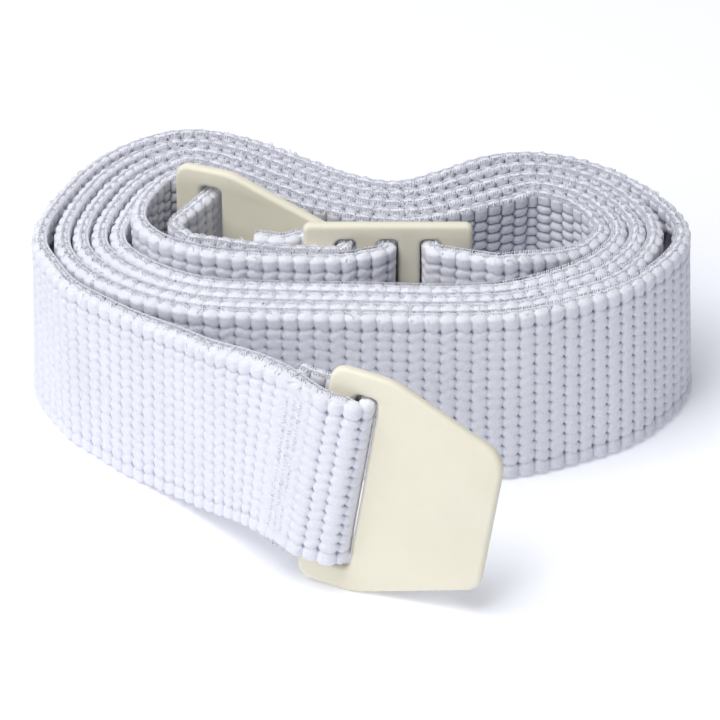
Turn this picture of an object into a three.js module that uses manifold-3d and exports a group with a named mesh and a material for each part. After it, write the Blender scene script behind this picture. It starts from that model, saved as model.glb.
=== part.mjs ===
// Elastic belt with a hook tab at each end and a three-slot slide adjuster, coiled on its edge.
// Millimetres, +Z up. The coil stands on z = 0; its long side runs along X.

import * as THREE from 'three';
import { mergeVertices } from 'three/addons/utils/BufferGeometryUtils.js';
import Module from 'manifold-3d';

const wasm = await Module();
wasm.setup();

// ---------- driving dimensions ----------

const WEB_WIDTH = 25;              // woven elastic, standing on its edge
const WEB_THICKNESS = 2;
const COIL_TURNS = 5;
const COIL_STEP = 2.6;             // longest step along the coil's outline
const BEND_STEPS = 7;              // straight steps round each bend of a route
const CLEARANCE = 0.3;             // between pieces that touch on the real belt

const TAB_LENGTH = 24;
const TAB_WIDE = 31;
const TAB_NARROW = 19.4;
const TAB_STRAIGHT = 8;            // length of the parallel sides beside the slot
const TAB_THICKNESS = 1.6;
const TAB_BAR = 3.6;               // end bar that the webbing loops round
const TAB_SLOT = [2.8, 26.6];      // slot size along and across the tab
const TAB_CORNER = 2;
const SLOT_CORNER = 0.6;

const HOOK_AT = 19.2;              // middle of the hook's post, from the wide end
const HOOK_WIDTH = 8;
const HOOK_POST = 1.8;
const HOOK_GAP = 1.5;              // space under the hook's lip
const HOOK_LIP = [3.6, 1];         // lip length and thickness

const SLIDE_LENGTH = 22.4;
const SLIDE_HEIGHT = 30;
const SLIDE_THICKNESS = 1.6;
const SLIDE_SLOT = [2.7, 25.8];
const SLIDE_SLOT_PITCH = 5.6;
const SLIDE_CORNER = 0.8;
const SLIDE_AT = [3.7, 4.9];       // middle of the slide in plan
const FITTING_LIFT = 0.3;          // bottom of the slide and the inner tab above z = 0
const WEB_LIFT = 2.9;              // webbing raised by the fittings' lower rails

const LOOP_SLACK = 0.6;            // room between a tab and its webbing loop, for the tab to swing
const LOOP_OFFSET = TAB_THICKNESS / 2 + LOOP_SLACK + WEB_THICKNESS / 2;
const SLOT_MIDDLE = TAB_BAR + TAB_SLOT[0] / 2;
const LOOP_BEND = CLEARANCE + WEB_THICKNESS / 2 + 0.05;

const OUTER_TAB = { at: [-5.7, -32.7], height: 16.25, yaw: 18.7, roll: 7.3, lean: 6.4 };
const INNER_TAB = { at: [-24.7, 19.7], height: FITTING_LIFT + TAB_WIDE / 2, yaw: 22, roll: 0, lean: 0 };

const TACK_HEIGHT = 21;
const TACK_WIDTH = 2.2;
const TACK_PITCH = 1.5;            // height of one stitch of a bar tack
const THREAD_THICKNESS = 0.5;
const OUTER_TACK_BACK = 5;         // outer tack, back from the outer tab along the webbing
const INNER_TACK_BACK = 1.8;       // inner tack, back from the webbing's tail end

// Places on the webbing's route, in plan.
const FREE_CORNER = [-24.5, -14.2];
const FREE_CLIMB = [-32, -8];      // x values between which the free run climbs to the outer tab
const FREE_LEAN = [-20, -8];       // x values between which it leans over to the tab's slant
const OUTER_TAB_START = -0.6;      // along the outer tab, where the free run comes beside it
const LEAD_CLIMB = [31, 18];       // x values between which the coil's end climbs to the slide
const INNER_SEAM = [-10.0, 5.6];   // where the tail comes to lie against the webbing in front
const TAIL_END = [-14.0, 6.5];

// ---------- materials ----------

const webbing = new THREE.MeshStandardMaterial({ color: 0xe9eaf3, roughness: 0.95, metalness: 0 });
const plastic = new THREE.MeshStandardMaterial({ color: 0xece4c4, roughness: 0.45, metalness: 0 });
const thread = new THREE.MeshStandardMaterial({ color: 0xf4f2ee, roughness: 0.9, metalness: 0 });

// ---------- helpers ----------

const radians = THREE.MathUtils.degToRad;

// A point beside a tab in plan: a along the tab from its wide end, off behind its middle plane.
function besideTab(tab, a, off) {
  const yaw = radians(tab.yaw);
  return [
    tab.at[0] + a * Math.cos(yaw) + off * Math.sin(yaw),
    tab.at[1] - a * Math.sin(yaw) + off * Math.cos(yaw),
  ];
}

// Corners [x, y, radius] joined by straight runs and round bends, as closely spaced points.
function roundedRoute(corners) {
  const path = new THREE.Path();
  path.moveTo(corners[0][0], corners[0][1]);
  for (let i = 1; i < corners.length - 1; i += 1) {
    const [x, y, radius] = corners[i];
    const corner = new THREE.Vector2(x, y);
    const back = new THREE.Vector2(corners[i - 1][0], corners[i - 1][1]).sub(corner).normalize();
    const ahead = new THREE.Vector2(corners[i + 1][0], corners[i + 1][1]).sub(corner).normalize();
    const half = Math.acos(THREE.MathUtils.clamp(back.dot(ahead), -1, 1)) / 2;
    const middle = back.clone().add(ahead).normalize();
    const centre = corner.clone().addScaledVector(middle, radius / Math.sin(half));
    const from = corner.clone().addScaledVector(back, radius / Math.tan(half)).sub(centre);
    const to = corner.clone().addScaledVector(ahead, radius / Math.tan(half)).sub(centre);
    const clockwise = back.cross(ahead) > 0;
    path.lineTo(centre.x + from.x, centre.y + from.y);
    path.absarc(centre.x, centre.y, radius, from.angle(), to.angle(), clockwise);
  }
  const last = corners[corners.length - 1];
  path.lineTo(last[0], last[1]);
  const points = path.getPoints(BEND_STEPS);
  return points.filter((point, i) => i === 0 || point.distanceTo(points[i - 1]) > 0.02);
}

// The same route with its long straights divided, so that a strip along it can be reshaped.
function divided(route, step) {
  return route.flatMap((point, i) => {
    if (i === 0) {
      return [point];
    }
    const before = route[i - 1];
    const parts = Math.ceil(before.distanceTo(point) / step);
    return Array.from({ length: parts }, (_, k) => before.clone().lerp(point, (k + 1) / parts));
  });
}

// A strip standing on edge along a plan route: a closed outline pushed up to the webbing's width.
function standingStrip(route, lift = 0) {
  const left = [];
  const right = [];
  const runs = route.slice(1).map((point, i) => point.clone().sub(route[i]).normalize());
  route.forEach((point, i) => {
    const before = runs[Math.max(i - 1, 0)];
    const after = runs[Math.min(i, runs.length - 1)];
    const along = before.clone().add(after).normalize();
    const reach = WEB_THICKNESS / 2 / along.dot(after);
    const side = new THREE.Vector2(-along.y, along.x).multiplyScalar(reach);
    left.push(point.clone().add(side));
    right.push(point.clone().sub(side));
  });
  const outline = new THREE.Shape([...left, ...right.reverse()]);
  const strip = new THREE.ExtrudeGeometry(outline, { depth: WEB_WIDTH, bevelEnabled: false });
  strip.translate(0, 0, lift);
  return strip;
}

// Moves every vertex by a rule, for strips that climb or lean along their length.
function reshape(geometry, rule) {
  const position = geometry.attributes.position;
  const point = new THREE.Vector3();
  for (let i = 0; i < position.count; i += 1) {
    point.fromBufferAttribute(position, i);
    rule(point);
    position.setXYZ(i, point.x, point.y, point.z);
  }
  return geometry;
}

function toSolid(geometry) {
  const bare = geometry.clone();
  bare.deleteAttribute('normal');
  bare.deleteAttribute('uv');
  const merged = mergeVertices(bare);
  return new wasm.Manifold(new wasm.Mesh({
    numProp: 3,
    vertProperties: new Float32Array(merged.attributes.position.array),
    triVerts: new Uint32Array(merged.index.array),
  }));
}

function toGeometry(solid) {
  const mesh = solid.getMesh();
  const geometry = new THREE.BufferGeometry();
  geometry.setAttribute('position', new THREE.BufferAttribute(mesh.vertProperties, 3));
  geometry.setIndex(new THREE.BufferAttribute(mesh.triVerts, 1));
  return geometry;
}

// An outline drawn in length and height, extruded evenly about y = 0 and standing upright.
function uprightPlate(outline, thickness) {
  const settings = { depth: thickness, bevelEnabled: false, curveSegments: 5 };
  const plate = new THREE.ExtrudeGeometry(outline, settings);
  plate.translate(0, 0, -thickness / 2);
  plate.rotateX(Math.PI / 2);
  return plate;
}

function roundedPolygon(corners) {
  const outline = new THREE.Shape();
  corners.forEach(([x, y, radius], i) => {
    const corner = new THREE.Vector2(x, y);
    const previous = corners[(i + corners.length - 1) % corners.length];
    const next = corners[(i + 1) % corners.length];
    const back = new THREE.Vector2(previous[0], previous[1]).sub(corner).setLength(radius);
    const ahead = new THREE.Vector2(next[0], next[1]).sub(corner).setLength(radius);
    const from = corner.clone().add(back);
    const to = corner.clone().add(ahead);
    if (i === 0) {
      outline.moveTo(from.x, from.y);
    } else {
      outline.lineTo(from.x, from.y);
    }
    outline.quadraticCurveTo(x, y, to.x, to.y);
  });
  outline.closePath();
  return outline;
}

function slotHole(middle, size) {
  const [halfLength, halfHeight] = [size[0] / 2, size[1] / 2];
  return roundedPolygon([
    [middle - halfLength, -halfHeight, SLOT_CORNER],
    [middle + halfLength, -halfHeight, SLOT_CORNER],
    [middle + halfLength, halfHeight, SLOT_CORNER],
    [middle - halfLength, halfHeight, SLOT_CORNER],
  ]);
}

function named(name, geometry, material) {
  const mesh = new THREE.Mesh(geometry, material);
  mesh.name = name;
  return mesh;
}

// ---------- webbing ----------

// Middle line of the outermost turn, clockwise from the left end: x, y and the pitch of the turns.
const FIRST_TURN = [
  [-42.3, 9.5, 2.5],
  [-41.1, 20.2, 2.5],
  [-36.8, 30.8, 2.5],
  [-30.6, 37.2, 2.5],
  [-24.0, 39.9, 2.5],
  [-16.5, 37.8, 2.5],
  [-8.5, 32.2, 2.5],
  [-1.0, 27.0, 2.4],
  [5.0, 25.0, 2.4],
  [11.5, 28.4, 2.6],
  [18.0, 32.5, 2.8],
  [25.0, 33.2, 2.6],
  [33.0, 29.6, 2.45],
  [39.0, 22.8, 2.4],
  [42.0, 14.5, 2.4],
  [41.0, 8.0, 2.4],
  [36.6, 1.8, 2.32],
  [29.5, -4.2, 2.32],
  [21.5, -8.4, 2.32],
  [12.0, -9.5, 2.32],
  [0.0, -9.1, 2.32],
  [-12.0, -8.7, 2.32],
  [-22.8, -7.4, 2.32],
  [-31.8, -2.6, 2.4],
  [-37.6, 3.5, 2.5],
];
const LAST_KNOT = 19;              // the spiral ends at this knot of its last turn, short of the slide
const LEAD_LENGTH = 27;            // last stretch of the spiral, which climbs to the slide
const LEAD_STOP = 6.4;             // left free beyond it for the slide's travel

function spiralRoute() {
  const knots = FIRST_TURN.map(([x, y]) => new THREE.Vector2(x, y));
  const points = [];
  for (let turn = 0; turn < COIL_TURNS; turn += 1) {
    const last = turn === COIL_TURNS - 1 ? LAST_KNOT + 1 : FIRST_TURN.length;
    for (let i = 0; i < last; i += 1) {
      const before = knots[(i + knots.length - 1) % knots.length];
      const after = knots[(i + 1) % knots.length];
      const along = after.clone().sub(before).normalize();
      const inward = new THREE.Vector2(along.y, -along.x);
      const point = knots[i].clone().addScaledVector(inward, turn * FIRST_TURN[i][2]);
      points.push(new THREE.Vector3(point.x, point.y, 0));
    }
  }
  return new THREE.CatmullRomCurve3(points, false, 'centripetal');
}

// Part of a curve between two lengths along it, as plan points no further apart than COIL_STEP.
function stretchOf(curve, from, to) {
  const steps = Math.ceil((to - from) / COIL_STEP);
  const total = curve.getLength();
  return Array.from({ length: steps + 1 }, (_, i) => {
    const point = curve.getPointAt((from + (to - from) * (i / steps)) / total);
    return new THREE.Vector2(point.x, point.y);
  });
}

const spiral = spiralRoute();
spiral.arcLengthDivisions = 4000;
const LEAD_START = spiral.getLength() - LEAD_STOP - LEAD_LENGTH;

// 0 before one x value, 1 after another, and smooth between them.
function shareOf(x, [from, to]) {
  return THREE.MathUtils.smoothstep((x - from) / (to - from), 0, 1);
}

function outerTabLean() {
  const up = new THREE.Vector3(0, 0, 1).applyEuler(tabEuler(OUTER_TAB));
  return [up.x / up.z, up.y / up.z];
}

// Lifts and leans the free run, so that it lies square in the outer tab's slot.
function liftToOuterTab(point) {
  const [leanX, leanY] = outerTabLean();
  const share = shareOf(point.x, FREE_LEAN);
  const slope = Math.tan(radians(OUTER_TAB.roll));
  point.z += (OUTER_TAB.height - WEB_WIDTH / 2 + CLEARANCE) * shareOf(point.x, FREE_CLIMB);
  point.z -= share * slope * (point.x - OUTER_TAB.at[0]);
  point.x += share * leanX * (point.z - OUTER_TAB.height);
  point.y += share * leanY * (point.z - OUTER_TAB.height);
}

function freeRun() {
  return reshape(standingStrip(divided(roundedRoute([
    [-42.1, 7.6],
    [-40.2, -0.6, 9],
    [...FREE_CORNER, 60],
    [...besideTab(OUTER_TAB, OUTER_TAB_START, -LOOP_OFFSET), 3],
    [...besideTab(OUTER_TAB, SLOT_MIDDLE, -LOOP_OFFSET), LOOP_BEND],
    [...besideTab(OUTER_TAB, SLOT_MIDDLE, LOOP_OFFSET), LOOP_BEND],
    [-8.5, -29.2, 5],
    [-11.1, -26.1],
  ]), COIL_STEP)), liftToOuterTab);
}

function leadIn() {
  const route = stretchOf(spiral, LEAD_START + CLEARANCE, LEAD_START + LEAD_LENGTH);
  return reshape(standingStrip(route), (point) => {
    point.z += WEB_LIFT * shareOf(point.x, LEAD_CLIMB);
  });
}

const [SLIDE_X, SLIDE_Y] = SLIDE_AT;
const BEHIND_SLIDE = SLIDE_Y + SLIDE_THICKNESS / 2 + CLEARANCE + WEB_THICKNESS / 2;
const LEFT_SLOT = SLIDE_X - SLIDE_SLOT_PITCH;
const RIGHT_SLOT = SLIDE_X + SLIDE_SLOT_PITCH;

function slideWeave() {
  return standingStrip(roundedRoute([
    [13.2, 1.7],
    [RIGHT_SLOT, 2.9, LOOP_BEND],
    [RIGHT_SLOT, BEHIND_SLIDE, LOOP_BEND],
    [SLIDE_X, BEHIND_SLIDE, LOOP_BEND],
    [SLIDE_X, 2.8, LOOP_BEND],
    [0.6, 1.7],
  ]), WEB_LIFT);
}

function innerRun() {
  return standingStrip(roundedRoute([
    [-2.4, 0.5],
    [-12.0, 1.0, 40],
    [-20.5, 2.0, 20],
    [-26.9, 5.5, 8],
    [-29.9, 10.2, 6],
    [-29.3, 15.4],
  ]), WEB_LIFT);
}

function tabLoop() {
  return standingStrip(roundedRoute([
    [-28.7, 17.0],
    [...besideTab(INNER_TAB, -2.4, LOOP_OFFSET + 0.5), 2.6],
    [...besideTab(INNER_TAB, SLOT_MIDDLE, LOOP_OFFSET), LOOP_BEND],
    [...besideTab(INNER_TAB, SLOT_MIDDLE - 0.3, -2.2), 4],
    [-25.0, 9.6, 1.6],
    [-22.7, 6.2, 1.6],
    [-10.5, 3.1, 25],
    [LEFT_SLOT, 2.8, LOOP_BEND],
    [LEFT_SLOT, BEHIND_SLIDE, LOOP_BEND],
    [-7.8, BEHIND_SLIDE, 1.6],
    [...INNER_SEAM, 1.6],
    TAIL_END,
  ]), WEB_LIFT);
}

// ---------- plastic fittings ----------

function tabEuler(tab) {
  return new THREE.Euler(radians(-tab.lean), radians(tab.roll), radians(-tab.yaw), 'ZXY');
}

// A hook tab with its end bar's middle at the origin, so that it turns about the webbing loop.
function hookTab(hookSide) {
  const half = TAB_WIDE / 2;
  const narrow = TAB_NARROW / 2;
  const outline = roundedPolygon([
    [0, -half, TAB_CORNER],
    [TAB_STRAIGHT, -half, TAB_CORNER],
    [TAB_LENGTH, -narrow, TAB_CORNER],
    [TAB_LENGTH, narrow, TAB_CORNER],
    [TAB_STRAIGHT, half, TAB_CORNER],
    [0, half, TAB_CORNER],
  ]);
  outline.holes.push(slotHole(SLOT_MIDDLE, TAB_SLOT));
  const plate = toSolid(uprightPlate(outline, TAB_THICKNESS));
  const postHeight = TAB_THICKNESS / 2 + HOOK_GAP + HOOK_LIP[1];
  const post = new THREE.BoxGeometry(HOOK_POST, postHeight, HOOK_WIDTH);
  post.translate(HOOK_AT, hookSide * postHeight / 2, 0);
  const lip = new THREE.BoxGeometry(HOOK_LIP[0], HOOK_LIP[1], HOOK_WIDTH);
  lip.translate(
    HOOK_AT + HOOK_POST / 2 - HOOK_LIP[0] / 2,
    hookSide * (TAB_THICKNESS / 2 + HOOK_GAP + HOOK_LIP[1] / 2),
    0,
  );
  const geometry = toGeometry(plate.add(toSolid(post)).add(toSolid(lip)));
  geometry.translate(-TAB_BAR / 2, 0, 0);
  return geometry;
}

function placeTab(mesh, tab) {
  const bar = new THREE.Group();
  bar.rotation.copy(tabEuler(tab));
  bar.position.set(tab.at[0], tab.at[1], tab.height);
  mesh.position.x = TAB_BAR / 2;
  bar.add(mesh);
  return bar;
}

function slideAdjuster() {
  const halfLength = SLIDE_LENGTH / 2;
  const halfHeight = SLIDE_HEIGHT / 2;
  const outline = roundedPolygon([
    [-halfLength, -halfHeight, SLIDE_CORNER],
    [halfLength, -halfHeight, SLIDE_CORNER],
    [halfLength, halfHeight, SLIDE_CORNER],
    [-halfLength, halfHeight, SLIDE_CORNER],
  ]);
  for (const slot of [-1, 0, 1]) {
    outline.holes.push(slotHole(slot * SLIDE_SLOT_PITCH, SLIDE_SLOT));
  }
  return uprightPlate(outline, SLIDE_THICKNESS);
}

// ---------- stitching ----------

// A bar tack standing on the x axis: one zigzag thread, centred on the origin.
function barTack() {
  const stitches = Math.round(TACK_HEIGHT / TACK_PITCH);
  const swing = TACK_WIDTH / 2;
  const corners = Array.from({ length: stitches + 1 }, (_, i) => (
    new THREE.Vector2(i % 2 ? swing : -swing, (i / stitches - 0.5) * TACK_HEIGHT)
  ));
  const shift = new THREE.Vector2(THREAD_THICKNESS, 0);
  const left = corners.map((corner) => corner.clone().sub(shift));
  const right = corners.map((corner) => corner.clone().add(shift));
  return uprightPlate(new THREE.Shape([...left, ...right.reverse()]), THREAD_THICKNESS);
}

// A bar tack on the left face of a strip that runs in plan from one point to another, back from its end.
function tackBeside([fromX, fromY], [toX, toY], back) {
  const off = WEB_THICKNESS / 2 + CLEARANCE + THREAD_THICKNESS / 2;
  const along = new THREE.Vector2(toX - fromX, toY - fromY).normalize();
  const seam = new THREE.Vector2(toX, toY).addScaledVector(along, -back);
  const tack = barTack();
  tack.rotateZ(along.angle());
  tack.translate(seam.x + off * along.y, seam.y - off * along.x, WEB_WIDTH / 2);
  return tack;
}

// Sews the belt's end back on itself beside the outer tab, on the free run's front face.
function outerStitching() {
  const tab = besideTab(OUTER_TAB, OUTER_TAB_START, -LOOP_OFFSET);
  return reshape(tackBeside(FREE_CORNER, tab, OUTER_TACK_BACK), liftToOuterTab);
}

// Sews the tail to the webbing in front of it, on the tail's back face.
function innerStitching() {
  const tack = tackBeside(INNER_SEAM, TAIL_END, INNER_TACK_BACK);
  return tack.translate(0, 0, WEB_LIFT);
}

// ---------- assembly ----------

const belt = new THREE.Group();

belt.add(named('webbing_coil', standingStrip(stretchOf(spiral, 0, LEAD_START)), webbing));
belt.add(named('webbing_free_run', freeRun(), webbing));
belt.add(named('webbing_lead_in', leadIn(), webbing));
belt.add(named('webbing_slide_weave', slideWeave(), webbing));
belt.add(named('webbing_inner_run', innerRun(), webbing));
belt.add(named('webbing_tab_loop', tabLoop(), webbing));

belt.add(placeTab(named('outer_hook_tab', hookTab(1), plastic), OUTER_TAB));
belt.add(placeTab(named('inner_hook_tab', hookTab(-1), plastic), INNER_TAB));

const slide = named('slide_adjuster', slideAdjuster(), plastic);
slide.position.set(SLIDE_X, SLIDE_Y, FITTING_LIFT + SLIDE_HEIGHT / 2);
belt.add(slide);

belt.add(named('outer_stitching', outerStitching(), thread));
belt.add(named('inner_stitching', innerStitching(), thread));

// The origin is the middle of the belt's footprint.
const footprint = new THREE.Box3().setFromObject(belt, true).getCenter(new THREE.Vector3());
belt.position.set(-footprint.x, -footprint.y, 0);

const model = new THREE.Group();
model.add(belt);

export default model;
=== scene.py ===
"""A coiled elastic belt: ribbed webbing, a hook tab at each end and a slide adjuster."""

import math

import bmesh
import bpy
import numpy as np
from mathutils import Euler, Matrix, Vector


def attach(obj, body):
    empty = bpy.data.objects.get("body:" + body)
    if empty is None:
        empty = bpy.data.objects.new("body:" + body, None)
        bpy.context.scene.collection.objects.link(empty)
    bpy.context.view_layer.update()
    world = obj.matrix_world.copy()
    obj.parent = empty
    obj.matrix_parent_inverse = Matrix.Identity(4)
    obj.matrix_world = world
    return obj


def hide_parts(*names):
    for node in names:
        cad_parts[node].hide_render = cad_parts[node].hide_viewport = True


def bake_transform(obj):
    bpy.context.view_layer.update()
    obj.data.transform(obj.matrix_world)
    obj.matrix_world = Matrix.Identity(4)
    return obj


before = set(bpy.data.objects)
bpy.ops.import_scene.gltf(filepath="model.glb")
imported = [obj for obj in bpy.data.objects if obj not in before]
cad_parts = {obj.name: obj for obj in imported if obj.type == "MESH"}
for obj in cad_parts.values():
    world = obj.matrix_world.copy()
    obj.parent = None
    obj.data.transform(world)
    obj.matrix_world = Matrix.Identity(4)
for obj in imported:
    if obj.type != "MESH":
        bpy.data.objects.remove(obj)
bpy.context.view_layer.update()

MM = 0.001
rng = np.random.default_rng(7)

# ---------- camera ----------

VIEW_DOWN = math.radians(32)
VIEW_AWAY = 0.6
VIEW_AIM = Vector((-0.0001, -0.0005, 0.012))


def make_camera():
    camera = bpy.data.objects.new("camera", bpy.data.cameras.new("camera"))
    camera.data.lens = 225
    camera.data.sensor_width = 36
    camera.data.clip_start = 0.05
    camera.data.clip_end = 5
    back = Vector((0, -math.cos(VIEW_DOWN), math.sin(VIEW_DOWN)))
    camera.location = VIEW_AIM + back * VIEW_AWAY
    camera.rotation_euler = (math.pi / 2 - VIEW_DOWN, 0, 0)
    bpy.context.scene.collection.objects.link(camera)
    bpy.context.scene.camera = camera


make_camera()

# ---------- the belt's route, as in the CAD model, in millimetres ----------

WEB_WIDTH = 25.0
COIL_TURNS = 5
PLAN_SHIFT = np.array([-0.1152, -0.5])  # from the route's origin to the footprint's middle
CLEARANCE = 0.3
TAB_THICKNESS = 1.6
WEB_LIFT = 2.9
SLIDE_AT = (3.7, 4.9)
SLIDE_SLOT_PITCH = 5.6
SLOT_MIDDLE = 3.6 + 2.8 / 2
LOOP_OFFSET = TAB_THICKNESS / 2 + 0.6 + 1
LOOP_BEND = CLEARANCE + 1 + 0.05
OUTER_TAB = {"at": (-5.7, -32.7), "height": 16.25, "yaw": 18.7, "roll": 7.3, "lean": 6.4}
INNER_TAB = {"at": (-24.7, 19.7), "height": 15.8, "yaw": 22.0, "roll": 0.0, "lean": 0.0}
SAMPLE = 0.2

# Knots of the coil's outermost turn: x, y and how far inward each further turn lies there.
FIRST_TURN = [
    (-42.3, 9.5, 2.5),
    (-41.1, 20.2, 2.5),
    (-36.8, 30.8, 2.5),
    (-30.6, 37.2, 2.5),
    (-24.0, 39.9, 2.5),
    (-16.5, 37.8, 2.5),
    (-8.5, 32.2, 2.5),
    (-1.0, 27.0, 2.4),
    (5.0, 25.0, 2.4),
    (11.5, 28.4, 2.6),
    (18.0, 32.5, 2.8),
    (25.0, 33.2, 2.6),
    (33.0, 29.6, 2.45),
    (39.0, 22.8, 2.4),
    (42.0, 14.5, 2.4),
    (41.0, 8.0, 2.4),
    (36.6, 1.8, 2.32),
    (29.5, -4.2, 2.32),
    (21.5, -8.4, 2.32),
    (12.0, -9.5, 2.32),
    (0.0, -9.1, 2.32),
    (-12.0, -8.7, 2.32),
    (-22.8, -7.4, 2.32),
    (-31.8, -2.6, 2.4),
    (-37.6, 3.5, 2.5),
]
LAST_KNOT = 19
LEAD_STOP = 6.4
LEAD_LENGTH = 27


def beside_tab(tab, along, off):
    yaw = math.radians(tab["yaw"])
    return (
        tab["at"][0] + along * math.cos(yaw) + off * math.sin(yaw),
        tab["at"][1] - along * math.sin(yaw) + off * math.cos(yaw),
    )


def catmull_rom(points, steps=40):
    """Centripetal Catmull-Rom curve through plan points, as a dense polyline."""
    pts = np.array(points, float)
    pts = np.vstack([2 * pts[0] - pts[1], pts, 2 * pts[-1] - pts[-2]])
    t = np.linspace(0, 1, steps, endpoint=False)[:, None]
    out = []
    for p0, p1, p2, p3 in zip(pts, pts[1:], pts[2:], pts[3:]):
        d0, d1, d2 = (np.linalg.norm(b - a) ** 0.5 for a, b in ((p0, p1), (p1, p2), (p2, p3)))
        m1 = ((p1 - p0) / d0 - (p2 - p0) / (d0 + d1) + (p2 - p1) / d1) * d1
        m2 = ((p2 - p1) / d1 - (p3 - p1) / (d1 + d2) + (p3 - p2) / d2) * d1
        a = 2 * p1 - 2 * p2 + m1 + m2
        b = -3 * p1 + 3 * p2 - 2 * m1 - m2
        out.append(a * t**3 + b * t**2 + m1 * t + p1)
    out.append(pts[-2][None])
    return np.vstack(out)


def corner_arc(before, corner, after, radius, inset=0.0):
    """Centre, first angle and turn of the arc that rounds a corner whose sides have moved
    inward by inset."""
    back, ahead = before - corner, after - corner
    back, ahead = back / np.linalg.norm(back), ahead / np.linalg.norm(ahead)
    half = math.acos(np.clip(back @ ahead, -1, 1)) / 2
    middle = (back + ahead) / np.linalg.norm(back + ahead)
    corner = corner + middle * inset / math.sin(half)
    centre = corner + middle * radius / math.sin(half)
    start = corner + back * radius / math.tan(half) - centre
    end = corner + ahead * radius / math.tan(half) - centre
    first = math.atan2(start[1], start[0])
    turn = math.atan2(start[0] * end[1] - start[1] * end[0], start @ end)
    return centre, first, turn


def arc_points(centre, radius, first, turn, steps):
    angles = first + turn * np.linspace(0, 1, steps)
    return centre + radius * np.stack([np.cos(angles), np.sin(angles)], 1)


def rounded_route(corners):
    """Straight runs with round bends through corners (x, y, radius)."""
    points = [np.array(corner[:2], float) for corner in corners]
    out = [points[0][None]]
    for i in range(1, len(corners) - 1):
        radius = corners[i][2]
        centre, first, turn = corner_arc(points[i - 1], points[i], points[i + 1], radius)
        steps = max(3, int(abs(turn) * radius / SAMPLE) + 1)
        out.append(arc_points(centre, radius, first, turn, steps))
    out.append(points[-1][None])
    return np.vstack(out)


def resample(points, step):
    gaps = np.linalg.norm(np.diff(points, axis=0), axis=1)
    keep = np.concatenate([[True], gaps > 1e-6])
    points = points[keep]
    length = np.concatenate([[0], np.cumsum(np.linalg.norm(np.diff(points, axis=0), axis=1))])
    count = int(round(length[-1] / step)) + 1
    at = np.linspace(0, length[-1], count)
    return np.stack([np.interp(at, length, points[:, k]) for k in range(points.shape[1])], 1)


def smoothed(values, sigma):
    """Gaussian smoothing along a polyline whose ends stay put."""
    reach = int(4 * sigma) + 1
    kernel = np.exp(-0.5 * (np.arange(-reach, reach + 1) / sigma) ** 2)
    kernel /= kernel.sum()
    head = 2 * values[0] - values[reach:0:-1]
    tail = 2 * values[-1] - values[-2 : -reach - 2 : -1]
    padded = np.concatenate([head, values, tail])
    columns = [np.convolve(padded[:, k], kernel, "valid") for k in range(values.shape[1])]
    return np.stack(columns, 1)


def smoothstep(x, low, high):
    t = np.clip((x - low) / (high - low), 0, 1)
    return t * t * (3 - 2 * t)


def spiral():
    knots = np.array([(x, y) for x, y, _ in FIRST_TURN])
    along = np.roll(knots, -1, 0) - np.roll(knots, 1, 0)
    along /= np.linalg.norm(along, axis=1)[:, None]
    inward = np.stack([along[:, 1], -along[:, 0]], 1)
    points = []
    for turn in range(COIL_TURNS):
        last = LAST_KNOT + 1 if turn == COIL_TURNS - 1 else len(knots)
        for i in range(last):
            points.append(knots[i] + inward[i] * turn * FIRST_TURN[i][2])
    return resample(catmull_rom(points), SAMPLE)


SLIDE_X, SLIDE_Y = SLIDE_AT
BEHIND_SLIDE = SLIDE_Y + TAB_THICKNESS / 2 + CLEARANCE + 1
LEFT_SLOT = SLIDE_X - SLIDE_SLOT_PITCH
RIGHT_SLOT = SLIDE_X + SLIDE_SLOT_PITCH

free_route = rounded_route(
    [
        (-42.3, 8.8),
        (-41.3, 5.4, 6),
        (-38.4, -1.4, 8),
        (-24.5, -14.2, 60),
        (*beside_tab(OUTER_TAB, -0.6, -LOOP_OFFSET), 3),
        (*beside_tab(OUTER_TAB, SLOT_MIDDLE + 0.7, -LOOP_OFFSET), LOOP_BEND),
        (*beside_tab(OUTER_TAB, SLOT_MIDDLE, LOOP_OFFSET), LOOP_BEND),
        (-8.5, -29.2, 5),
        (-9.3, -28.3),
    ]
)[::-1]
coil_route = spiral()
coil_route = coil_route[: len(coil_route) - int(LEAD_STOP / SAMPLE)]
weave_route = rounded_route(
    [
        (13.2, 1.7),
        (RIGHT_SLOT, 2.9, LOOP_BEND),
        (RIGHT_SLOT, BEHIND_SLIDE, LOOP_BEND),
        (SLIDE_X, BEHIND_SLIDE, LOOP_BEND),
        (SLIDE_X, 2.8, LOOP_BEND),
        (0.6, 1.7),
    ]
)
inner_route = rounded_route(
    [
        (-2.4, 0.5),
        (-12.0, 1.0, 40),
        (-20.5, 2.0, 20),
        (-26.9, 5.5, 8),
        (-29.9, 10.2, 6),
        (-29.3, 15.4),
    ]
)
loop_route = rounded_route(
    [
        (-28.7, 17.0),
        (*beside_tab(INNER_TAB, -2.4, LOOP_OFFSET + 0.5), 2.6),
        (*beside_tab(INNER_TAB, SLOT_MIDDLE, LOOP_OFFSET), LOOP_BEND),
        (*beside_tab(INNER_TAB, SLOT_MIDDLE - 0.3, -2.2), 4),
        (-25.0, 9.6, 1.6),
        (-22.7, 6.2, 1.6),
        (-10.5, 3.1, 25),
        (LEFT_SLOT, 2.8, LOOP_BEND),
        (LEFT_SLOT, BEHIND_SLIDE, LOOP_BEND),
        (-7.8, BEHIND_SLIDE, 1.6),
        (-10.0, 5.6, 1.6),
        (-14.0, 6.5),
    ]
)

LEGS = [free_route, coil_route, weave_route, inner_route, loop_route]


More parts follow.
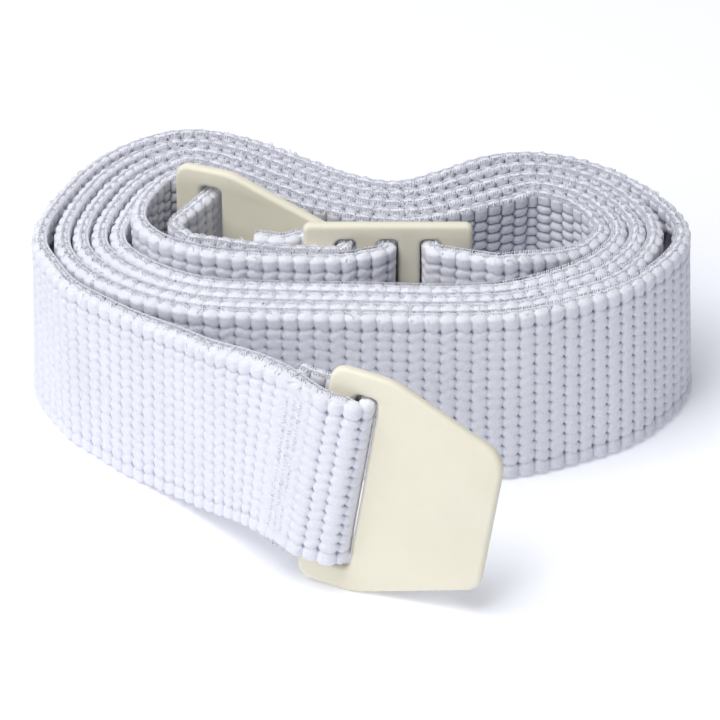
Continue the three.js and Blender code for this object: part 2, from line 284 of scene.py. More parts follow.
def whole_route():
    """The belt's middle line from its outer end to its inner end, evenly spaced, with the
    length at which each leg starts and the whole length."""
    starts = [0.0]
    points = LEGS[0]
    for leg in LEGS[1:]:
        gap = np.linalg.norm(leg[0] - points[-1])
        length = np.linalg.norm(np.diff(points, axis=0), axis=1).sum()
        starts.append(length + gap / 2)
        points = np.vstack([points, leg])
    total = np.linalg.norm(np.diff(points, axis=0), axis=1).sum()
    points = resample(points, SAMPLE)
    tangent = np.gradient(points, axis=0)
    heading = np.unwrap(np.arctan2(tangent[:, 1], tangent[:, 0]))
    turning = np.abs(np.gradient(smoothed(heading[:, None], 4)[:, 0])) / SAMPLE
    tight = smoothed((turning > 0.22).astype(float)[:, None], 8)[:, 0]
    share = np.clip(3 * tight, 0, 1)[:, None]
    soft = smoothed(points, 1.6 / SAMPLE)
    firm = smoothed(points, 0.35 / SAMPLE)
    return soft * (1 - share) + firm * share, np.array(starts), total


ROUTE, LEG_STARTS, ROUTE_LENGTH = whole_route()
ROUTE_AT = np.linspace(0, ROUTE_LENGTH, len(ROUTE))
RIB_COUNT = int(round(ROUTE_LENGTH / 2.05))
RIB_PITCH = ROUTE_LENGTH / RIB_COUNT

fold_gap = np.hypot(*(ROUTE - beside_tab(OUTER_TAB, SLOT_MIDDLE + 1, -LOOP_OFFSET)).T)
FRONT_FOLD = ROUTE_AT[int(np.argmin(fold_gap))]

tab_yaw, tab_roll, tab_lean = (math.radians(OUTER_TAB[k]) for k in ("yaw", "roll", "lean"))


def outer_tab_up():
    """The outer tab's long edge direction: leaned, rolled in its own plane, then turned."""
    turned = Euler((0, 0, -tab_yaw)).to_matrix()
    leaned = Euler((-tab_lean, 0, 0)).to_matrix()
    rolled = Euler((0, tab_roll, 0)).to_matrix()
    return turned @ leaned @ rolled @ Vector((0, 0, 1))


TAB_UP = outer_tab_up()


def at_length(s):
    """Middle line point and unit tangent at lengths s."""
    x = np.interp(s, ROUTE_AT, ROUTE[:, 0])
    y = np.interp(s, ROUTE_AT, ROUTE[:, 1])
    tangents = np.gradient(ROUTE, axis=0)
    tx = np.interp(s, ROUTE_AT, tangents[:, 0])
    ty = np.interp(s, ROUTE_AT, tangents[:, 1])
    norm = np.hypot(tx, ty)
    return np.stack([x, y], -1), np.stack([tx / norm, ty / norm], -1)


# How far the strip's foot stands out, and places (x, y, amount, reach) where turns bulge.
FLARE = 1.1
OUTERMOST_BULGES = [(-43.0, 12.5, 0.8, 6), (42.0, 12.0, 1.25, 9)]
ALL_TURNS_BULGES = [(-37.0, 29.0, -0.5, 12), (34.5, -0.5, 1.3, 8)]
coil_start, weave_start, inner_start, loop_start = LEG_STARTS[1:]
lead_start = weave_start - LEAD_LENGTH


def bulge(middle, places):
    """How far the strip stands further out near some places."""
    total = 0.0
    for x, y, amount, reach in places:
        total = total + amount * np.exp(-((middle - (x, y)) ** 2).sum(-1) / reach**2)
    return total


def foot_flare(s):
    """The foot's flare along the strip: full round the coil, less on the free run, none where
    the free run meets the coil and after the coil's last turn."""
    coil = smoothstep(s, coil_start - 12, coil_start + 12)
    free = smoothstep(s, coil_start - 48, coil_start - 36)
    free = 0.6 * free * (1 - smoothstep(s, coil_start - 24, coil_start - 12))
    return FLARE * np.maximum(coil, free) * (1 - smoothstep(s, lead_start - 5, lead_start + 20))


def place(s, height, off):
    """Position in metres of a point on the strip: length s, height across the webbing and
    distance off its middle plane, left side positive."""
    middle, tangent = at_length(s)
    side = np.stack([-tangent[..., 1], tangent[..., 0]], -1)
    flare = foot_flare(s) * (1 - height / WEB_WIDTH)
    outermost = smoothstep(s, coil_start - 30, coil_start - 20) * (
        1 - smoothstep(s, coil_start + 165, coil_start + 200)
    )
    in_coil = (s > coil_start) & (s < lead_start)
    swell = bulge(middle, OUTERMOST_BULGES) * outermost + bulge(middle, ALL_TURNS_BULGES) * in_coil
    plan = middle + side * (off + flare + swell)[..., None]
    x, y, z = plan[..., 0], plan[..., 1], height.copy()

    # The free run climbs, leans and narrows to lie square in the outer tab's slot.
    free = s < coil_start
    share = smoothstep(x, -20, -8) * free
    climb = (OUTER_TAB["height"] - WEB_WIDTH / 2 + CLEARANCE) * smoothstep(x, -32, -8) * free
    z = z + climb - share * math.tan(tab_roll) * (x - OUTER_TAB["at"][0])
    narrowing = smoothstep(x, -17, -8) * free
    z = z + narrowing * (0.9 - 1.5 * height / WEB_WIDTH)
    up = z - OUTER_TAB["height"]
    x, y = x + share * TAB_UP.x / TAB_UP.z * up, y + share * TAB_UP.y / TAB_UP.z * up

    # The last stretch of the coil climbs to the slide; everything after it stays up there.
    lead = (s >= lead_start) & (s < weave_start)
    z = z + WEB_LIFT * smoothstep(31 - x, 0, 13) * lead + WEB_LIFT * (s >= weave_start)
    return np.stack([x + PLAN_SHIFT[0], y + PLAN_SHIFT[1], z], -1) * MM


# ---------- webbing surface: u counts ribs along the strip, v counts beads across it ----------

BEADS = 16
HALF = 0.74  # half the webbing's thickness without its relief
RELIEF = 0.36
RIB_SAMPLES = np.array([0.0, 0.07, 0.2, 0.38, 0.62, 0.8, 0.93])
BEAD_SAMPLES = np.array([0.0, 0.14, 0.38, 0.62, 0.86])
EDGE_ROUND = 0.7
KNOB = 0.45  # depth of the dips between the rims' knobs
LOOP_RADIUS = 0.085
FIBRE_RADIUS = 0.055
STITCH_RADIUS = 0.1


def pillow(f, power):
    return (1 - np.abs(2 * f - 1) ** power) ** 0.6


def rim_share(v):
    """1 at the outermost bead rows, 0 further in."""
    return np.maximum(smoothstep(v, BEADS - 2.0, BEADS - 1.1), 1 - smoothstep(v, 1.1, 2.0))


def in_bead(v):
    """Fraction across a bead; the outermost beads run on over the edge without closing."""
    return np.where((v < 0.5) | (v > BEADS - 0.5), 0.5, v % 1.0)


def grid_relief(u, v):
    """Outer side: flat ribs of beads with a deep notch at each bead corner and round rim beads."""
    f, g = u % 1.0, in_bead(v)
    near_rib = np.minimum(f, 1 - f)
    near_bead = np.minimum(g, 1 - g)
    rim = rim_share(v)
    wave = np.sin(3.1 * np.floor(u) + 1.7 * np.floor(v))
    flat = 0.62 * pillow(f, 3.0) * (1 - (0.26 + 0.08 * wave) * (1 - pillow(g, 2.2)))
    ball = 1.25 * (1 - (2 * f - 1) ** 2) ** 0.75 * (0.45 + 0.55 * pillow(g, 2.0))
    notch = np.exp(-((near_rib / 0.14) ** 2) - (near_bead / 0.2) ** 2)
    return flat + (ball - flat) * rim + 0.3 * (1 - rim) - (0.95 + 0.25 * wave) * notch


def brick_relief(u, v):
    """Inner side: round beads, each in a hexagon of deep grooves."""
    f, g = 2 * (u % 1.0) - 1, 2 * in_bead(v) - 1
    dome = np.clip(1 - np.abs(f) ** 2.6 - np.abs(g) ** 2.6 + 0.5 * (f * g) ** 2, 0, 1)
    return 1.5 * dome**0.55 - 0.6


def stagger(u, v, side):
    """How far a point is moved across the webbing, in beads: every other rib of the inner side
    sits half a bead higher, and the outer side's ribs wander a little."""
    inside = smoothstep(v, 0.0, 1.5) * (1 - smoothstep(v, BEADS - 1.5, BEADS))
    odd = np.floor(u) % 2
    f = u % 1.0
    here = odd + (1 - 2 * odd) * (smoothstep(f, 0.9, 1.1) + 1 - smoothstep(f, -0.1, 0.1))
    inner = 0.5 * (here - 0.5) * inside
    outer = 0.16 * np.sin(2.7 * np.floor(u + 0.5)) * inside
    return np.where(side > 0, outer, inner)


def wander(u, v, side):
    """How far a point is moved along the webbing, in ribs: each outer bead leans and jumps back at
    its crease, and the grooves between the inner side's ribs weave round the staggered beads."""
    f, g = u % 1.0, v % 1.0
    inside = (v > 1) & (v < BEADS - 1)
    lean = np.where(g > 0.05, 0.17 * (0.5 - g), 0)
    sign = 2 * (np.round(u) % 2) - 1
    weave = 0.13 * sign * np.sin(math.tau * v) * (2 * f - 1) ** 2
    return np.where(side > 0, lean, weave) * inside


def ring_profile(outer_full, inner_full):
    """Around one cross-section: bead coordinate v, side (+1 outer, -1 inner, 0 edge), how far
    round an edge, and whether there are beads. A side that a neighbouring turn hides has beads
    only at its rims."""

    def side_values(full):
        values = []
        for bead in range(BEADS):
            hidden = not full and 2 <= bead < BEADS - 2
            samples = BEAD_SAMPLES[:1] if hidden else BEAD_SAMPLES
            if hidden and bead % 3:
                continue
            values.extend(bead + samples)
        values.append(float(BEADS))
        return np.array(values)

    up = side_values(outer_full)
    down = side_values(inner_full)[::-1]
    turn = np.linspace(0, math.pi, 9)[1:-1]
    v = np.concatenate([up, np.full(len(turn), BEADS), down, np.zeros(len(turn))])
    side = np.concatenate([np.ones(len(up)), np.cos(turn), -np.ones(len(down)), -np.cos(turn)])
    edge = np.concatenate([np.zeros(len(up)), np.sin(turn), np.zeros(len(down)), -np.sin(turn)])
    rim = np.ones(len(turn))
    outer_beads, inner_beads = np.full(len(up), outer_full), np.full(len(down), inner_full)
    beaded = np.concatenate([outer_beads, rim, inner_beads, rim])
    return v, side, edge, beaded.astype(bool)


def felting(u, side):
    """1 where the outer side is pulled flat by the seam near the outer tab, 0 elsewhere."""
    s = u * RIB_PITCH - FRONT_FOLD
    return smoothstep(s, 5.0, 7.5) * (1 - smoothstep(s, 10.0, 15.0)) * (side > 0)


def pressed_flat(s):
    """1 where the webbing passes through the outer tab's slot, 0 elsewhere."""
    return np.exp(-(((s - FRONT_FOLD + 2) / 3.6) ** 4))


def strip_points(u, v, side, edge, full, noise):
    """Positions and groove depth of a grid of strip points; the depth also sets the painted groove
    shade in the webbing colour.
    """
    on_side = np.abs(edge) < 1e-6
    outer, inner = grid_relief(u, v), brick_relief(u, v)
    felted = felting(u, side)
    tufts = 0.5 * np.sin(5.1 * u + 3.3 * v) * np.sin(2.3 * u - 4.7 * v)
    outer = outer + (0.55 + 0.35 * tufts - outer) * 0.75 * felted
    noise = noise * (1 + 2.5 * felted)
    outer_share, inner_share = np.clip(side, 0, 1), np.clip(-side, 0, 1)
    knob = (1 - (2 * (u % 1.0) - 1) ** 2) ** 0.9
    rounding = (1 - outer_share - inner_share) * (0.25 + 0.35 * knob)
    relief = outer_share * outer + inner_share * inner + rounding
    middle = (v > 2) & (v < BEADS - 2) & ~full
    relief = np.where(middle, 0.2, relief)
    off = (HALF + RELIEF * relief + noise) * side
    fall = KNOB * (1 - knob) * (0.5 + 0.5 * outer_share + 0.3 * inner_share)
    rise = np.where(on_side, 0, edge) * (EDGE_ROUND - fall + noise)
    across = v + np.where(on_side, stagger(u, v, side), 0)
    height = EDGE_ROUND + 0.1 + across / BEADS * (WEB_WIDTH - 2 * EDGE_ROUND - 0.2) + rise
    along = u + wander(u, v, side) * on_side
    return place(along * RIB_PITCH, height, off), relief


def add_mesh(name, points, faces, attributes):
    mesh = bpy.data.meshes.new(name)
    mesh.vertices.add(len(points))
    mesh.vertices.foreach_set("co", points.astype(np.float32).ravel())
    loops = [index for face in faces for index in face]
    sizes = [len(face) for face in faces]
    starts = np.concatenate([[0], np.cumsum(sizes)[:-1]])
    mesh.loops.add(len(loops))
    mesh.loops.foreach_set("vertex_index", np.asarray(loops, np.int32))
    mesh.polygons.add(len(sizes))
    mesh.polygons.foreach_set("loop_start", starts.astype(np.int32))
    mesh.polygons.foreach_set("use_smooth", np.ones(len(sizes), bool))
    for key, values in attributes.items():
        layer = mesh.attributes.new(key, "FLOAT", "POINT")
        layer.data.foreach_set("value", values.astype(np.float32).ravel())
    mesh.update(calc_edges=True)
    mesh.validate()
    piece = bpy.data.objects.new(name, mesh)
    bpy.context.scene.collection.objects.link(piece)
    return piece


def threads(centre, radius):
    """Three-sided tubes along rows of points: centre is (count, steps, 3)."""
    count, steps = centre.shape[:2]
    tangent = np.gradient(centre, axis=1)
    tangent /= np.linalg.norm(tangent, axis=2, keepdims=True) + 1e-12
    aside = np.cross(tangent, np.array([0.3, 0.5, 0.81]))
    aside /= np.linalg.norm(aside, axis=2, keepdims=True) + 1e-12
    third = np.cross(tangent, aside)
    angles = (0, math.tau / 3, 2 * math.tau / 3)
    rings = [centre + radius * (math.cos(a) * aside + math.sin(a) * third) for a in angles]
    points = np.stack(rings, 2).reshape(-1, 3)
    start = np.arange(count)[:, None] * steps * 3
    faces = []
    for k in range(steps - 1):
        for side in range(3):
            a, b = k * 3 + side, k * 3 + (side + 1) % 3
            faces.append(np.concatenate([start + a, start + b, start + b + 3, start + a + 3], 1))
    return points, np.concatenate(faces)


def selvedge_loops(first, last):
    """The binding yarn's loops along both rims of the upper edge, and stray fibres between them."""
    begin, length = first * RIB_PITCH, (last - first) * RIB_PITCH
    t = np.linspace(0, 1, 6)[None]
    batches = []
    for near, far in ((-0.95, -0.4), (0.3, -0.25)):
        count = int(length / 0.36)
        s = begin + (np.arange(count)[:, None] + 0.3 * rng.random((count, 1))) * length / count
        size = 0.75 + 0.5 * rng.random((count, 1))
        lean = 0.35 + 0.3 * rng.random((count, 1))
        off = near + (far - near) * t * size
        pressed = pressed_flat(s)
        lift = (0.42 + 0.2 * size) * (1 - 0.9 * pressed)
        rise = WEB_WIDTH - 0.6 - 0.3 * pressed + lift * np.sin(math.pi * (0.12 + 0.84 * t))
        batches.append(threads(place(s + lean * (t - 0.5), rise, off), LOOP_RADIUS * MM))
    count = int(length * 2.0)
    s = begin + rng.random((count, 1)) * length
    off = (rng.random((count, 1)) - 0.5) * 2.1
    size = 0.15 + 0.35 * rng.random((count, 1)) ** 2
    heading = rng.random((count, 1)) * math.tau
    across = -np.cos(math.pi * t) * size
    lift = 0.5 + 0.8 * rng.random((count, 1))
    pressed = pressed_flat(s)
    rise = WEB_WIDTH - 0.4 - 0.3 * off**2 - 0.4 * pressed
    rise = rise + np.sin(math.pi * t) * size * lift * (1 - 0.9 * pressed)
    aside = off + across * np.sin(heading)
    batches.append(threads(place(s + across * np.cos(heading), rise, aside), FIBRE_RADIUS * MM))
    starts = np.cumsum([0] + [len(points) for points, _ in batches[:-1]])
    points = np.vstack([points for points, _ in batches])
    return points, np.vstack([faces + start for (_, faces), start in zip(batches, starts)])


def make_strip(name, first, last, outer_full=True, inner_full=True):
    """One piece of the webbing, from rib first to rib last, closed at both ends."""
    v, side, edge, full = ring_profile(outer_full, inner_full)
    u = np.concatenate([(np.arange(first, last)[:, None] + RIB_SAMPLES).ravel(), [last]])
    ring, rows = len(v), len(u)
    uu = np.repeat(u[:, None], ring, 1)
    grain = np.sin(uu * 913.7 + np.arange(ring) * 57.3) * 43758.5453
    noise = (grain % 1.0 - 0.5) * np.where(np.abs(edge) > 1e-6, 0.22, 0.035)
    rows_of = [np.repeat(values[None], rows, 0) for values in (v, side, edge, full)]
    points, relief = strip_points(uu, *rows_of, noise)
    points = points.reshape(-1, 3)
    row = np.arange(rows - 1)[:, None] * ring
    here = np.arange(ring)[None]
    after = (here + 1) % ring
    corners = [row + here, row + ring + here, row + ring + after, row + after]
    quads = np.stack(corners, -1).reshape(-1, 4)
    caps = [list(range(ring)), list(range((rows - 1) * ring, rows * ring))[::-1]]
    # The relief attribute carries the groove depth, which the webbing material turns into painted
    # shade in the grooves and notches.
    groove = np.clip(relief.ravel(), -0.6, 1.2)
    edges = np.repeat(np.abs(edge)[None], rows, 0).ravel()
    faces = quads.tolist() + caps
    loop_points, loop_faces = selvedge_loops(first, last)
    faces += (loop_faces + len(points)).tolist()
    points = np.vstack([points, loop_points])
    groove = np.concatenate([groove, 0.7 + 0.5 * rng.random(len(loop_points))])
    edges = np.concatenate([edges, np.ones(len(loop_points))])
    piece = add_mesh(name, points, faces, {"relief": groove, "selvedge": edges})
    return piece


# ---------- materials ----------


def node_material(name):
    material = bpy.data.materials.new(name)
    material.use_nodes = True
    nodes = material.node_tree.nodes
    return material, nodes, material.node_tree.links, nodes["Principled BSDF"]


def noise_node(nodes, links, scale, detail=4.0, roughness=0.6):
    coords = nodes.new("ShaderNodeTexCoord")
    noise = nodes.new("ShaderNodeTexNoise")
    noise.inputs["Scale"].default_value = scale
    noise.inputs["Detail"].default_value = detail
    noise.inputs["Roughness"].default_value = roughness
    links.new(coords.outputs["Object"], noise.inputs["Vector"])
    return noise


def ramp_node(nodes, links, source, stops):
    ramp = nodes.new("ShaderNodeValToRGB")
    while len(ramp.color_ramp.elements) < len(stops):
        ramp.color_ramp.elements.new(0.5)
    for element, (position, colour) in zip(ramp.color_ramp.elements, stops):
        element.position = position
        element.color = (*colour, 1)
    links.new(source, ramp.inputs["Fac"])
    return ramp


def mapped(nodes, links, source, low, high, to_low=0.0, to_high=1.0):
    node = nodes.new("ShaderNodeMapRange")
    node.inputs["From Min"].default_value = low
    node.inputs["From Max"].default_value = high
    node.inputs["To Min"].default_value = to_low
    node.inputs["To Max"].default_value = to_high
    links.new(source, node.inputs["Value"])
    return node.outputs["Result"]


def bump_node(nodes, links, height, distance, strength=1.0, normal=None):
    bump = nodes.new("ShaderNodeBump")
    bump.inputs["Distance"].default_value = distance
    bump.inputs["Strength"].default_value = strength
    links.new(height, bump.inputs["Height"])
    if normal is not None:
        links.new(normal, bump.inputs["Normal"])
    return bump.outputs["Normal"]


def mixed(nodes, links, factor, first, second, mode="MIX"):
    mix = nodes.new("ShaderNodeMix")
    mix.data_type = "RGBA"
    mix.blend_type = mode
    if isinstance(factor, float):
        mix.inputs["Factor"].default_value = factor
    else:
        links.new(factor, mix.inputs["Factor"])
    for socket, value in ((mix.inputs["A"], first), (mix.inputs["B"], second)):
        if isinstance(value, tuple):
            socket.default_value = (*value, 1)
        else:
            links.new(value, socket)
    return mix.outputs["Result"]


def webbing_material():
    material, nodes, links, shader = node_material("webbing_elastic")
    # Painted shade: the colour ramp darkens the webbing to blue-grey where the relief attribute is
    # low, in the grooves and notches between beads, standing in for the shade that falls there.
    relief = nodes.new("ShaderNodeAttribute")
    relief.attribute_name = "relief"
    depth = mapped(nodes, links, relief.outputs["Fac"], -0.5, 0.9)
    body = ramp_node(
        nodes,
        links,
        depth,
        [
            (0.0, (0.36, 0.36, 0.45)),
            (0.25, (0.60, 0.61, 0.72)),
            (0.5, (0.81, 0.82, 0.90)),
            (1.0, (0.87, 0.875, 0.94)),
        ],
    )
    fibres = noise_node(nodes, links, 2600, 3)
    patches = noise_node(nodes, links, 90, 3)
    shade = mapped(nodes, links, fibres.outputs["Fac"], 0.3, 0.7, 0.90, 1.0)
    tint = mapped(nodes, links, patches.outputs["Fac"], 0.35, 0.65, 0.96, 1.0)
    rim = nodes.new("ShaderNodeAttribute")
    rim.attribute_name = "selvedge"
    # The rims and selvedge loops take the plain light base colour, without the painted groove
    # shade.
    bound = mixed(nodes, links, rim.outputs["Fac"], body.outputs["Color"], (0.87, 0.875, 0.94))
    colour = mixed(nodes, links, 1.0, bound, shade, "MULTIPLY")
    colour = mixed(nodes, links, 1.0, colour, tint, "MULTIPLY")
    links.new(colour, shader.inputs["Base Color"])
    rough = mapped(nodes, links, fibres.outputs["Fac"], 0.2, 0.8, 0.78, 0.98)
    links.new(rough, shader.inputs["Roughness"])
    shader.inputs["Sheen Weight"].default_value = 0.25
    shader.inputs["Sheen Roughness"].default_value = 0.5
    shader.inputs["Specular IOR Level"].default_value = 0.3
    yarn = noise_node(nodes, links, 1500, 2)
    normal = bump_node(nodes, links, yarn.outputs["Fac"], 0.00012, 0.6)
    normal = bump_node(nodes, links, fibres.outputs["Fac"], 0.00006, 0.7, normal)
    links.new(normal, shader.inputs["Normal"])
    return material


def plastic_material():
    material, nodes, links, shader = node_material("fitting_nylon")
    cloud = noise_node(nodes, links, 120, 4)
    colour = ramp_node(
        nodes, links, cloud.outputs["Fac"], [(0.3, (0.84, 0.80, 0.65)), (0.7, (0.87, 0.83, 0.69))]
    )
    links.new(colour.outputs["Color"], shader.inputs["Base Color"])
    grain = noise_node(nodes, links, 1800, 3)
    rough = mapped(nodes, links, grain.outputs["Fac"], 0.3, 0.7, 0.46, 0.6)
    links.new(rough, shader.inputs["Roughness"])
    shader.inputs["Subsurface Weight"].default_value = 0.25
    shader.inputs["Subsurface Radius"].default_value = (0.9, 0.8, 0.5)
    shader.inputs["Subsurface Scale"].default_value = 0.0015
    shader.inputs["Specular IOR Level"].default_value = 0.28
    normal = bump_node(nodes, links, grain.outputs["Fac"], 0.00003, 0.35)
    normal = bump_node(nodes, links, cloud.outputs["Fac"], 0.0003, 0.3, normal)
    links.new(normal, shader.inputs["Normal"])
    return material


def thread_material():
    material, nodes, links, shader = node_material("sewing_thread")
    twist = noise_node(nodes, links, 4000, 2)
    colour = ramp_node(
        nodes, links, twist.outputs["Fac"], [(0.3, (0.80, 0.80, 0.86)), (0.7, (0.88, 0.885, 0.94))]
    )
    links.new(colour.outputs["Color"], shader.inputs["Base Color"])
    rough = mapped(nodes, links, twist.outputs["Fac"], 0.3, 0.7, 0.6, 0.85)
    links.new(rough, shader.inputs["Roughness"])
    normal = bump_node(nodes, links, twist.outputs["Fac"], 0.00005, 0.6)
    links.new(normal, shader.inputs["Normal"])
    return material


WEBBING = webbing_material()
PLASTIC = plastic_material()
THREAD = thread_material()


def paint(piece, material):
    piece.data.materials.clear()
    piece.data.materials.append(material)
    return piece


# ---------- webbing pieces ----------


def rib_at(s):
    return int(round(s / RIB_PITCH))


def length_near(x, y, after, before):
    """Length along the route, between two lengths, of the point nearest to a plan position."""
    gap = np.hypot(ROUTE[:, 0] - x, ROUTE[:, 1] - y)
    gap = np.where((ROUTE_AT >= after) & (ROUTE_AT <= before), gap, 1e9)
    return ROUTE_AT[int(np.argmin(gap))]


def turn_cuts():
    """Lengths at which each turn of the coil ends, at the coil's left."""
    cuts = [coil_start]
    for turn in range(1, COIL_TURNS):
        cuts.append(length_near(-42.3 + 2.5 * turn, 9.5, cuts[-1] + 60, cuts[-1] + 260))
    cuts.append(lead_start)
    return cuts


def make_webbing():
    cuts = [rib_at(s) for s in turn_cuts()]
    weave_first = rib_at(length_near(13.6, 1.5, weave_start - 8, weave_start + 4))
    run_first = rib_at(length_near(-0.4, 1.2, weave_start + 5, inner_start + 8))
    loop_first = rib_at(length_near(-29.6, 13.0, inner_start + 20, loop_start + 3))
    loop_middle = rib_at(length_near(-24.5, 22.6, loop_start, loop_start + 20))

    free = make_strip("webbing_free_end", 0, cuts[0])
    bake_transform(free)
    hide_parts("webbing_free_run")
    for turn in range(COIL_TURNS):
        piece = make_strip(
            f"webbing_turn_{turn + 1}",
            cuts[turn],
            cuts[turn + 1],
            outer_full=turn == 0,
            inner_full=turn >= COIL_TURNS - 2,
        )
        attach(piece, "coil")
        paint(piece, WEBBING)
        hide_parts("webbing_coil")
    lead = make_strip("webbing_lead", cuts[-1], weave_first)
    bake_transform(lead)
    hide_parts("webbing_lead_in")
    weave = make_strip("webbing_weave", weave_first, run_first)
    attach(weave, "slide")
    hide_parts("webbing_slide_weave")
    run = make_strip("webbing_inside", run_first, loop_first)
    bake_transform(run)
    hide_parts("webbing_inner_run")
    turn_back = make_strip("webbing_loop_start", loop_first, loop_middle)
    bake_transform(turn_back)
    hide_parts("webbing_tab_loop")
    loop = make_strip("webbing_loop_end", loop_middle, RIB_COUNT)
    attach(loop, "slide")
    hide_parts("webbing_tab_loop")
    for piece in (free, lead, weave, run, turn_back, loop):
        paint(piece, WEBBING)


make_webbing()

# ---------- moulded fittings ----------

TAB = {"length": 24.0, "wide": 31.0, "narrow": 19.4, "straight": 8.0, "corner": 2.0}
SLIDE = {"length": 22.4, "height": 30.0, "slot": (2.7, 25.4), "lift": 0.3}
EDGE_RADIUS = 0.62
SHARPEST_CORNER = 0.12
SLOT_CORNER = 0.8
HOOK_POST = (18.3, 20.1)  # from the tab's wide end
HOOK_TIP = 16.5
HOOK_GAP = 1.5
HOOK_LIP = 1.0
HOOK_HALF_WIDTH = 4


def rounded_outline(corners, inset):
    """A closed polygon moved inward by inset, with each corner (x, z, radius) rounded by an arc."""
    points = np.array([corner[:2] for corner in corners], float)
    count = len(points)
    area = sum(np.cross(points[i - 1], points[i]) for i in range(count))
    out = []
    for i in range(count):
        radius = max(corners[i][2] - inset, SHARPEST_CORNER)
        after = points[(i + 1) % count]
        centre, first, turn = corner_arc(points[i - 1], points[i], after, radius, inset)
        out.append(arc_points(centre, radius, first, turn, 7))
    out = np.vstack(out)
    return out if area > 0 else out[::-1]


def rectangle(middle, size, corner):
    half_length, half_height = size[0] / 2, size[1] / 2
    return [
        (middle - half_length, -half_height, corner),
        (middle + half_length, -half_height, corner),
        (middle + half_length, half_height, corner),
        (middle - half_length, half_height, corner),
    ]


def plate_mesh(outline, slots, thickness, radius):
    """A flat plate standing in x and z about y = 0, pierced by slots, with fully rounded edges."""
    curve = bpy.data.curves.new("plate", "CURVE")
    curve.dimensions = "2D"
    curve.fill_mode = "BOTH"
    curve.extrude = (thickness / 2 - radius) * MM
    curve.bevel_depth = radius * MM
    curve.bevel_resolution = 5
    loops = [rounded_outline(outline, radius)] + [rounded_outline(slot, -radius) for slot in slots]
    for loop in loops:
        spline = curve.splines.new("POLY")
        spline.points.add(len(loop) - 1)
        for point, (x, z) in zip(spline.points, loop):
            point.co = (x * MM, z * MM, 0, 1)
        spline.use_cyclic_u = True
    holder = bpy.data.objects.new("plate", curve)
    bpy.context.scene.collection.objects.link(holder)
    bpy.context.view_layer.update()
    depsgraph = bpy.context.evaluated_depsgraph_get()
    mesh = bpy.data.meshes.new_from_object(holder.evaluated_get(depsgraph))
    bpy.data.objects.remove(holder)
    mesh.transform(Matrix.Rotation(math.pi / 2, 4, "X"))
    return mesh


def block_mesh(low, high, radius):
    """A small block with rounded edges."""
    shape = bmesh.new()
    bmesh.ops.create_cube(shape, size=1)
    low, high = np.array(low) * MM, np.array(high) * MM
    for vertex in shape.verts:
        vertex.co = Vector((low + high) / 2 + (high - low) * np.array(vertex.co))
    bmesh.ops.bevel(
        shape, geom=shape.edges[:], offset=radius * MM, segments=3, profile=0.5, affect="EDGES"
    )
    mesh = bpy.data.meshes.new("block")
    shape.to_mesh(mesh)
    shape.free()
    return mesh


def joined_piece(name, meshes, placement, body, node):
    shape = bmesh.new()
    for mesh in meshes:
        shape.from_mesh(mesh)
    bmesh.ops.remove_doubles(shape, verts=shape.verts, dist=1e-7)
    bmesh.ops.recalc_face_normals(shape, faces=shape.faces)
    mesh = bpy.data.meshes.new(name)
    shape.to_mesh(mesh)
    shape.free()
    for face in mesh.polygons:
        face.use_smooth = True
    mesh.transform(placement)
    mesh.set_sharp_from_angle(angle=math.radians(35))
    piece = bpy.data.objects.new(name, mesh)
    bpy.context.scene.collection.objects.link(piece)
    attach(piece, body)
    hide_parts(node)
    return paint(piece, PLASTIC)


def make_tab(name, tab, slot_size, hook_side, body, node):
    half, narrow = TAB["wide"] / 2, TAB["narrow"] / 2
    straight, length, corner = TAB["straight"], TAB["length"], TAB["corner"]
    outline = [
        (0, -half, corner),
        (straight, -half, 8),
        (length, -narrow, corner + 0.5),
        (length, narrow, corner + 1.8),
        (straight, half, 8),
        (0, half, corner),
    ]
    slot = rectangle(SLOT_MIDDLE + 0.15, slot_size, SLOT_CORNER)
    plate = plate_mesh(outline, [slot], TAB_THICKNESS, EDGE_RADIUS)
    face = TAB_THICKNESS / 2
    under = face + HOOK_GAP
    post = sorted((hook_side * (face - 0.3), hook_side * (under + HOOK_LIP)))
    lip = sorted((hook_side * under, hook_side * (under + HOOK_LIP)))
    low, high = -HOOK_HALF_WIDTH, HOOK_HALF_WIDTH
    hook = [
        block_mesh((HOOK_POST[0], post[0], low), (HOOK_POST[1], post[1], high), 0.25),
        block_mesh((HOOK_TIP, lip[0], low), (HOOK_POST[1], lip[1], high), 0.35),
    ]
    x, y = np.array(tab["at"]) + PLAN_SHIFT
    angles = Euler((0, 0, math.radians(-tab["yaw"]))).to_matrix()
    angles = angles @ Euler((math.radians(-tab["lean"]), 0, 0)).to_matrix()
    angles = angles @ Euler((0, math.radians(tab["roll"]), 0)).to_matrix()
    placement = Matrix.Translation((x * MM, y * MM, tab["height"] * MM)) @ angles.to_4x4()
    return joined_piece(name, [plate] + hook, placement, body, node)


def make_slide():
    outline = rectangle(0, (SLIDE["length"], SLIDE["height"]), 1.0)
    slots = [rectangle(k * SLIDE_SLOT_PITCH, SLIDE["slot"], SLOT_CORNER) for k in (-1, 0, 1)]
    plate = plate_mesh(outline, slots, TAB_THICKNESS, EDGE_RADIUS)
    x, y = np.array(SLIDE_AT) + PLAN_SHIFT
    height = SLIDE["lift"] + SLIDE["height"] / 2
    placement = Matrix.Translation((x * MM, y * MM, height * MM))
    return joined_piece("slide_moulding", [plate], placement, "slide", "slide_adjuster")


make_tab("outer_tab_moulding", OUTER_TAB, (3.1, 24.6), 1, "outer_tab", "outer_hook_tab")
make_tab("inner_tab_moulding", INNER_TAB, (3.1, 25.65), -1, "inner_tab", "inner_hook_tab")
make_slide()



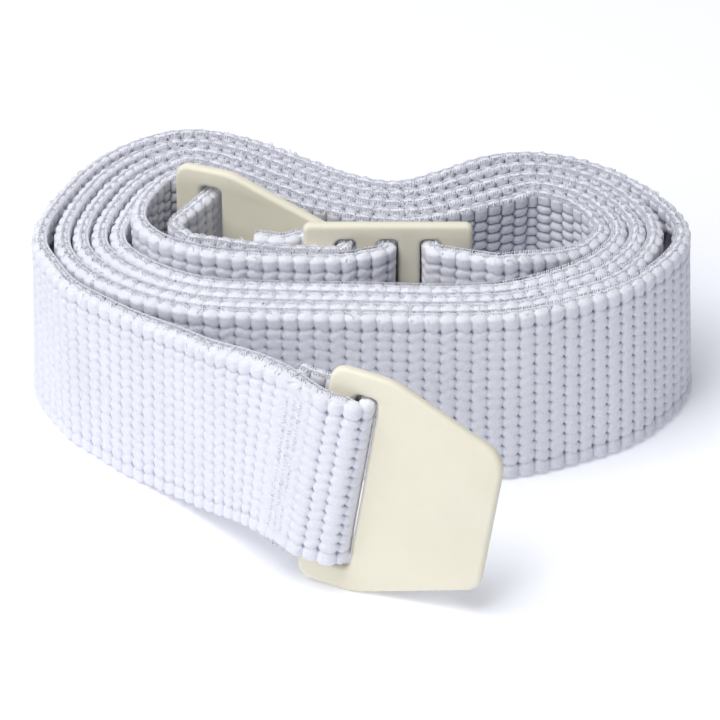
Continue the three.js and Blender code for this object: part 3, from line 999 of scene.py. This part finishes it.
def make_outer_stitching():
    """A bar tack whose fine zigzag thread sinks into the webbing that it pulls flat."""
    steps = np.linspace(0, 1, 9)
    levels = np.arange(2.2, 22.8, 0.55)
    rows = []
    for column in range(3):
        column_at = FRONT_FOLD + 7.6 + 1.1 * column
        for k in range(len(levels) - 1):
            near, far = column_at + 0.9 * (k % 2), column_at + 0.9 * ((k + 1) % 2)
            s = near + (far - near) * steps
            height = levels[k] + (levels[k + 1] - levels[k]) * steps
            sink = 0.34 * np.abs(2 * steps - 1) ** 2 + 0.12 * rng.random()
            rows.append(place(s, height, 1.1 - sink))
    points, faces = threads(np.array(rows), STITCH_RADIUS * MM)
    piece = add_mesh("outer_stitching_thread", points, faces, {})
    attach(piece, "free_end")
    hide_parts("outer_stitching")
    paint(piece, THREAD)


make_outer_stitching()
paint(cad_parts["inner_stitching"], THREAD)

# ---------- floor and light ----------


def make_floor():
    mesh = bpy.data.meshes.new("floor")
    size = 3.0
    mesh.from_pydata(
        [(-size, -size, 0), (size, -size, 0), (size, size, 0), (-size, size, 0)], [], [(0, 1, 2, 3)]
    )
    floor = bpy.data.objects.new("floor", mesh)
    bpy.context.scene.collection.objects.link(floor)
    material, _, _, shader = node_material("floor")
    shader.inputs["Base Color"].default_value = (0.93, 0.94, 1.0, 1)
    shader.inputs["Roughness"].default_value = 0.9
    shader.inputs["Emission Color"].default_value = (1, 1, 1, 1)
    shader.inputs["Emission Strength"].default_value = 0.18
    mesh.materials.append(material)


def area_light(name, location, aim, size, power, colour=(1, 1, 1)):
    light = bpy.data.lights.new(name, "AREA")
    light.shape = "RECTANGLE"
    light.size, light.size_y = size
    light.energy = power
    light.color = colour
    lamp = bpy.data.objects.new(name, light)
    lamp.location = location
    lamp.rotation_euler = (Vector(aim) - Vector(location)).to_track_quat("-Z", "Y").to_euler()
    bpy.context.scene.collection.objects.link(lamp)


def make_light():
    world = bpy.data.worlds.new("studio")
    world.use_nodes = True
    background = world.node_tree.nodes["Background"]
    background.inputs["Color"].default_value = (0.80, 0.86, 1.0, 1)
    background.inputs["Strength"].default_value = 0.18
    bpy.context.scene.world = world
    area_light("key", (-0.46, -0.66, 0.58), (0, 0, 0.01), (0.5, 0.5), 2.35, (1.0, 0.995, 0.98))
    area_light("top", (-0.26, -0.12, 0.84), (0, 0, 0), (0.7, 0.7), 6.85)


make_floor()
make_light()
bpy.context.scene.view_settings.view_transform = "Standard"
